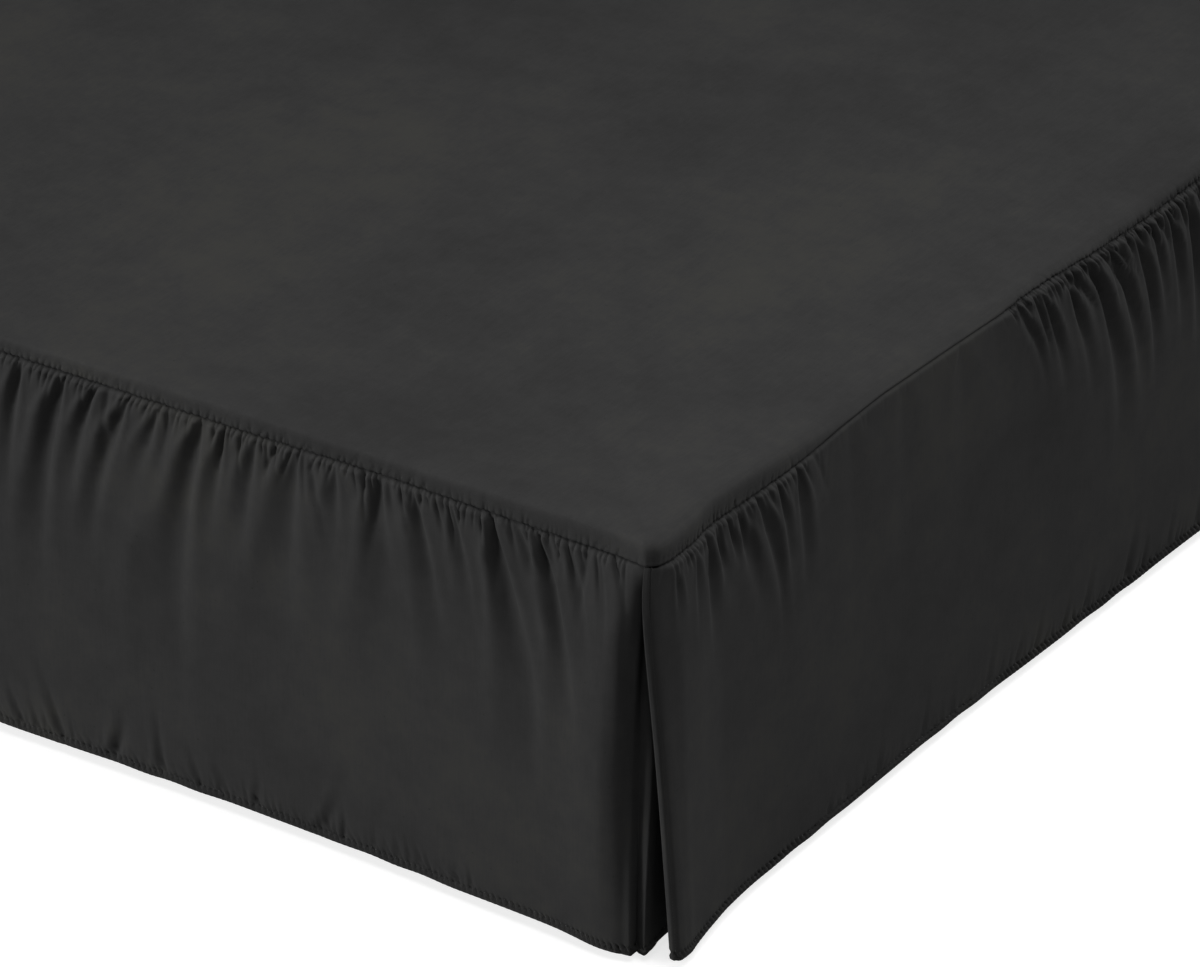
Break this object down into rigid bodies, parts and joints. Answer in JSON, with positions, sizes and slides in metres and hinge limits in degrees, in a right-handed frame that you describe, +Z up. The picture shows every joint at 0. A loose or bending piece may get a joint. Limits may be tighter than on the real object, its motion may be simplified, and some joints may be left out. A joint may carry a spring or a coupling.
{
  "type": "bed skirt on bed base",
  "caption": "Charcoal gathered bed skirt with split foot corners, a flat deck panel and drops to near the floor, fitted over a plain bed base on legs.",
  "frame": {"origin": "on the floor under the middle of the footprint, centred between the side hems and between the foot hem and the head end", "axes": "+Z up; +Y from the foot of the bed to the head; +X to the right side of the bed seen from the foot"},
  "size_m": [1.6044, 2.056, 0.4375],
  "materials": {
    "skirt_fabric": "charcoal brushed polyester microfibre, matte with a faint peached nap",
    "base_upholstery": "plain woven grey upholstery, matte",
    "leg_wood": "dark stained and lacquered, satin"
  },
  "bodies": {
    "root": {"deck_panel": "skirt_fabric", "foot_drop": "skirt_fabric", "side_drop_left": "skirt_fabric", "side_drop_right": "skirt_fabric", "bed_base": "base_upholstery", "leg_foot_left": "leg_wood", "leg_foot_right": "leg_wood", "leg_middle_left": "leg_wood", "leg_middle_right": "leg_wood", "leg_head_left": "leg_wood", "leg_head_right": "leg_wood"}
  },
  "joints": []
}
